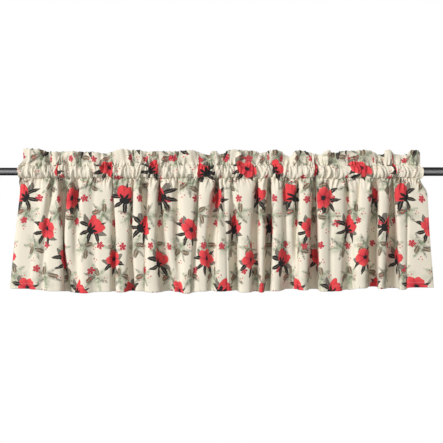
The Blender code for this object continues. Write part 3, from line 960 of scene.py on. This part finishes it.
def foliage(board, cloth, colour, haze):
    """Sage sprigs and brown veined leaves. Haze is where the ink has taken, from 0 to 1."""
    width = BLOOM_WIDTH / 2
    spot, _ = board.group(
        tossed_cell, Place=cloth, Width=width, Height=BLOOM_HEIGHT, Turn=ANY_WAY, Slide=10.0, Kind=1.0
    )
    for middle, angle, size in (((16, 20, 0), 0.9, (30, 17, 1)), ((-22, 10, 0), 2.6, (28, 15, 1))):
        wash, _ = board.group(oval, Place=spot, Middle=middle, Angle=angle, Size=size, Edge=0.8)
        colour = board.paint(colour, SAGE, wash * haze * 0.35)
    sprigs = (
        ((-2, -6, 0), 0.35, 48.0, 15.0, 3.1, SAGE),
        ((-2, -4, 0), 1.35, 46.0, 14.0, 2.9, SMOKE_GREEN),
        ((0, -4, 0), 2.25, 47.0, 15.0, 3.4, SAGE),
        ((0, -8, 0), 3.35, 44.0, 12.0, 2.7, SMOKE_GREEN),
        ((2, -8, 0), -0.75, 42.0, 13.0, 3.2, SAGE),
        ((0, -6, 0), -1.75, 40.0, 10.0, 2.9, SMOKE_GREEN),
    )
    for foot, angle, length, reach, spacing, ink in sprigs:
        [needles] = board.group(
            frond, Place=spot, Foot=foot, Angle=angle, Length=length, Reach=reach, Spacing=spacing
        )
        colour = board.paint(colour, ink, needles * haze)
    for middle, angle in (((-15, -18, 0), 0.4), ((16, -12, 0), 2.2)):
        blade, inside = board.group(oval, Place=spot, Middle=middle, Angle=angle, Size=(15, 8, 1), Edge=0.1)
        x, y, _ = board.parts(inside)
        off = abs(y)
        rib = (off * -12.0 + 2.0).clamped()
        side_veins = (((x - off) * 15.0).sine() * 2.0 - 0.6).clamped()
        veined = board.paint(DRY_BROWN, DRY_LIGHT, board.larger(side_veins, rib))
        colour = board.paint(colour, veined, blade)
    return colour


def berry_sprays(board, cloth, colour):
    """Small crimson berries here and there, and loose dots between them."""
    spot, chance = board.group(
        tossed_cell, Place=cloth, Width=84.0, Height=76.0, Turn=ANY_WAY, Slide=26.0, Kind=2.0
    )
    present = chance > 0.3
    spray, shine = board.group(berries, Place=spot, Middle=(0, 0, 0), Spread=8.0, Radius=4.7)
    for angle, bend in ((1.3, 2.0), (-1.9, -2.5)):
        foot = (0, 0, 0)
        twig, _ = board.group(leaf, Place=spot, Foot=foot, Angle=angle, Length=22.0, Width=1.0, Bend=bend)
        colour = board.paint(colour, LEAF_GREY, twig * present)
    colour = board.paint(colour, CRIMSON, spray * present)
    colour = board.paint(colour, CREAM, shine * present * 0.55)
    spot, chance = board.group(
        tossed_cell, Place=cloth, Width=58.0, Height=51.0, Turn=ANY_WAY, Slide=30.0, Kind=3.0
    )
    present = chance > 0.4
    for middle, ink in (((4, 3, 0), CRIMSON), ((-5, 4.5, 0), CORAL), ((-1, -5, 0), DEEP_RED)):
        dot, _ = board.group(oval, Place=spot, Middle=middle, Angle=0.0, Size=(2.5, 2.2, 1), Edge=0.3)
        colour = board.paint(colour, ink, dot * present)
    return colour


def flower_face(board, spot):
    """The colour and mask of an open flower seen a little from the side."""
    seen = (spot + (0, -7, 0)) * (1, 1.3, 1)
    mask, ring, veins, fold, heart = board.group(open_flower, Place=seen, Radius=38.0)
    deep = ((0.62 - ring).clamped() * 1.5).clamped()
    pale = ((ring - 0.6).clamped() * 1.3).clamped()
    red = board.paint(board.paint(CORAL, ROSE, pale), CRIMSON, deep)
    red = board.paint(red, CRIMSON, veins * 0.8)
    red = board.paint(red, DEEP_RED, fold * 0.85)
    return board.paint(red, NEAR_BLACK, heart), mask


def cup_face(board, spot):
    """The colour and mask of a cup-shaped flower seen from the side, on its dark calyx."""
    colour, mask = NEAR_BLACK, 0.0
    petals = (
        ((-14, 14, 0), 0.5, (14, 25, 1)),
        ((14, 14, 0), -0.5, (14, 25, 1)),
        ((0, 13, 0), 0.0, (17, 25, 1)),
    )
    for middle, angle, size in petals:
        petal, inside = board.group(oval, Place=spot, Middle=middle, Angle=angle, Size=size, Edge=0.05)
        x, y, _ = board.parts(inside)
        veins = (x / (y + 1.8) * 34.0).sine()
        low = ((0.3 - y).clamped() * 0.7).clamped()
        edge = ((inside.length() - 0.86) * 6.0).clamped()
        ink = board.larger((veins * low).clamped(), edge * 0.7)
        colour = board.paint(colour, board.paint(CORAL, DEEP_RED, ink), petal)
        mask = board.larger(mask, petal)
    foot = (0, -10, 0)
    calyx, _ = board.group(oval, Place=spot, Middle=foot, Angle=0.0, Size=(15, 9, 1), Edge=0.08)
    for angle in (0.75, 1.57, 2.4):
        sepal, _ = board.group(leaf, Place=spot, Foot=foot, Angle=angle, Length=27.0, Width=4.5, Bend=0.0)
        calyx = board.larger(calyx, sepal)
    return board.paint(colour, NEAR_BLACK, calyx), board.larger(mask, calyx)


def blooms(board, cloth, colour):
    """The flowers, two open ones to each cup, over their leaves."""
    spot, chance = board.group(
        tossed_cell, Place=cloth, Width=BLOOM_WIDTH, Height=BLOOM_HEIGHT, Turn=2.6, Slide=12.0, Kind=5.0
    )
    leaves = (
        ((-3, 2, 0), 2.72, 50.0, 9.5, 4.0, LEAF_GREY),
        ((4, 0, 0), 0.20, 52.0, 9.0, -5.0, LEAF_GREY),
        ((5, -2, 0), -0.50, 51.0, 7.0, 4.0, NEAR_BLACK),
        ((-4, -2, 0), 3.45, 52.0, 7.5, -5.0, NEAR_BLACK),
        ((-2, -4, 0), 4.15, 48.0, 6.5, 4.0, NEAR_BLACK),
        ((2, -4, 0), -1.20, 50.0, 6.5, -3.0, NEAR_BLACK),
        ((0, 8, 0), 1.95, 44.0, 5.0, 3.0, NEAR_BLACK),
    )
    for foot, angle, length, width, bend, ink in leaves:
        blade, across = board.group(
            leaf, Place=spot, Foot=foot, Angle=angle, Length=length, Width=width, Bend=bend
        )
        rib = (0.9 - abs(across)).clamped()
        colour = board.paint(colour, board.paint(ink, DRY_LIGHT, rib * 0.7), blade)
    cup = chance < 0.34
    open_colour, open_mask = flower_face(board, spot)
    cup_colour, cup_mask = cup_face(board, spot)
    mask = open_mask * (1.0 - cup) + cup_mask * cup
    return board.paint(colour, board.paint(open_colour, cup_colour, cup), mask)


def print_group():
    """The whole print. Cloth is the place in the flat cloth, in metres."""
    board, place = new_group("valance_print", "Cloth:Vector")
    cloth = place * (1000, 1000, 0)
    brush, wobble = board.noise(cloth * BRUSH)
    drawn = cloth + (wobble - (0.5, 0.5, 0.5)) * WOBBLE
    haze = (brush * 2.8 - 0.6).clamped()
    colour = foliage(board, drawn + (59, BLOOM_SHIFT + 56, 0), CREAM, haze)
    colour = berry_sprays(board, drawn + (21, 37, 0), colour)
    colour = blooms(board, drawn + (0, BLOOM_SHIFT, 0), colour)
    return board.finished(Color=colour)


def weave_group():
    """Plain weave: threads over and under one another. Height is for a bump."""
    board, cloth, threads = new_group("plain_weave", "Cloth:Vector Threads")
    warp, weft = [(spot * (threads * pi)).sine() for spot in board.parts(cloth)[:2]]
    return board.finished(Height=warp * weft)


valance_print, plain_weave = print_group(), weave_group()
THREADS = 1900.0             # to the metre
SLUBS = (240, 900, 1)        # to the metre, along the cloth and up it
SLUB_SHADE = (0.80, 0.77, 0.70)


def cloth_finish(name, strength):
    """The cloth's finish, with the print at that strength."""
    finish, board, shader = new_finish(name)
    cloth = board.result("ShaderNodeUVMap", uv_map="cloth")
    [printed] = board.group(valance_print, Cloth=cloth)
    colour = printed if strength == 1 else board.paint(CREAM, printed, strength)
    slubs, _ = board.noise(cloth * SLUBS)
    tint = ((slubs - 0.4) * 2.0).clamped()
    board.fill(shader["Base Color"], board.paint(colour, colour * SLUB_SHADE, tint))
    [weave] = board.group(plain_weave, Cloth=cloth, Threads=THREADS)
    board.fill(shader["Normal"], board.bump(weave, 0.25))
    shader["Roughness"].default_value = 0.9
    shader["Specular IOR Level"].default_value = 0.3
    shader["Sheen Weight"].default_value = 0.04
    return finish


def applied(made, name):
    """A plain mesh object of that name, from an object with its modifiers."""
    view = bpy.context.evaluated_depsgraph_get()
    result = placed(name, bpy.data.meshes.new_from_object(made.evaluated_get(view)))
    bpy.data.objects.remove(made)
    return result


cloth_mesh.materials.append(cloth_finish("printed_face", 1))
cloth_mesh.materials.append(cloth_finish("cloth_reverse", 0.3))
thickness = cloth_sheet.modifiers.new("thickness", "SOLIDIFY")
thickness.thickness = CLOTH
thickness.offset = 0
thickness.material_offset = 1
valance = applied(cloth_sheet, "valance_cloth")
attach(valance, "root")
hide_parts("valance")

# A map to bake the cloth through: its printed side above, its reverse below that and its thin
# edges in a row of small cells at the bottom. The sides come first in the mesh, then the edges.
MAP_LEFT, MAP_RIGHT = 0.004, 0.996
SIDE_BANDS = ((0.36, 0.996), (0.02, 0.35))     # the foot and top of the face and of the reverse
EDGE_BAND = (0.004, 0.012)
EDGE_CELL = 0.8              # of a cell's width, so that there is a gap between the cells
mesh = valance.data
sides = np.minimum(np.arange(len(mesh.polygons)) // len(cloth_mesh.polygons), 2)
corners_each = np.zeros(len(mesh.polygons), int)
mesh.polygons.foreach_get("loop_total", corners_each)
side_of_corner = np.repeat(sides, corners_each)
baked = np.zeros(2 * len(mesh.loops))
mesh.uv_layers["cloth"].uv.foreach_get("vector", baked)
baked = baked.reshape(-1, 2)
baked = (baked - baked.min(axis=0)) / np.ptp(baked, axis=0)
for side, (foot, top) in enumerate(SIDE_BANDS):
    chosen = side_of_corner == side
    baked[chosen] = mix(np.array([MAP_LEFT, foot]), np.array([MAP_RIGHT, top]), baked[chosen])
cells = np.arange(np.count_nonzero(sides == len(SIDE_BANDS)))[:, None]
across = (cells + np.array([0, EDGE_CELL, EDGE_CELL, 0])) / len(cells)
up = np.broadcast_to(np.repeat(EDGE_BAND, 2), across.shape)
baked[side_of_corner == len(SIDE_BANDS)] = np.stack([across, up], 2).reshape(-1, 2)
mesh.uv_layers.new(name="OFBake").uv.foreach_set("vector", baked.ravel())


# ---------------------------------------------------------------------------------------
# The stitching: the two seams of the pocket, in front and behind, the bottom hem's row and
# one up each side hem. Each stitch is a short length of cream thread, half sunk in the cloth.

STITCH_PITCH = 0.003
STITCH_LENGTH = 0.0023
THREAD_RADIUS = 0.00018
THREAD_SIDES = 5
THREAD_CREAM = (0.78, 0.72, 0.60, 1)
THREAD_SHADE = (0.60, 0.54, 0.44, 1)
SIDE_STITCH = 0.010          # from the cloth's side edge


def running_stitch_group():
    """Stitches end to end along the edges of a mesh."""
    board, lines, pitch, length, radius, thread = new_group(
        "running_stitch", "Lines:Geometry Pitch Length Radius Thread:Material", "Geometry"
    )
    board.tree.is_modifier = True
    curve = board.result("GeometryNodeMeshToCurve", lines)
    spots = board.node("GeometryNodeResampleCurve", curve, mode="LENGTH")
    board.fill(spots.inputs["Length"], pitch)
    spots = Wire(board, spots.outputs[0])
    stitch = board.result("GeometryNodeMeshCylinder", THREAD_SIDES, 1, 1, radius, length)
    run = board.result("GeometryNodeInputTangent")
    turn = board.result("FunctionNodeAlignRotationToVector", None, None, run, axis="Z")
    sewn = board.result("GeometryNodeInstanceOnPoints", spots, None, stitch, None, None, turn)
    real = board.result("GeometryNodeRealizeInstances", sewn)
    return board.finished(Stitches=board.result("GeometryNodeSetMaterial", real, None, thread))


bottom_seam = len(SKIRT_ROWS) + len(UPPER_ROWS) - 1
top_seam = bottom_seam + len(POCKET_FRONT) + 1
top_seam_behind = top_seam + len(HEADING_FRONT) + len(HEADING_BACK)
bottom_seam_behind = top_seam_behind + len(POCKET_BACK)
surface = sheet - inward(sheet) * CLOTH / 2
lines = [surface[row] for row in (HEM_LINE, bottom_seam, top_seam, top_seam_behind, bottom_seam_behind)]
for place in (flat[0] + SIDE_STITCH, flat[-1] - SIDE_STITCH):
    column = int(np.searchsorted(flat, place))
    lines.append(surface[:-1, column])
ends = np.cumsum([len(line) for line in lines])
edges = [(k, k + 1) for k in range(ends[-1] - 1) if k + 1 not in ends]
line_mesh = bpy.data.meshes.new("seam_lines")
line_mesh.from_pydata(np.concatenate(lines).tolist(), edges, [])
seam_lines = placed("seam_lines", line_mesh)
thread, board, shader = new_finish("cream_thread")
dye, _ = board.noise(board.place(), scale=900.0)
board.fill(shader["Base Color"], board.paint(THREAD_SHADE, THREAD_CREAM, dye))
board.fill(shader["Roughness"], dye * 0.3 + 0.55)
sewn = seam_lines.modifiers.new("sewn", "NODES")
sewn.node_group = running_stitch_group()
sizes = {"Pitch": STITCH_PITCH, "Length": STITCH_LENGTH, "Radius": THREAD_RADIUS, "Thread": thread}
for socket in sewn.node_group.interface.items_tree:
    if socket.name in sizes:
        sewn[socket.identifier] = sizes[socket.name]
stitching = applied(seam_lines, "stitching")
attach(stitching, "root")
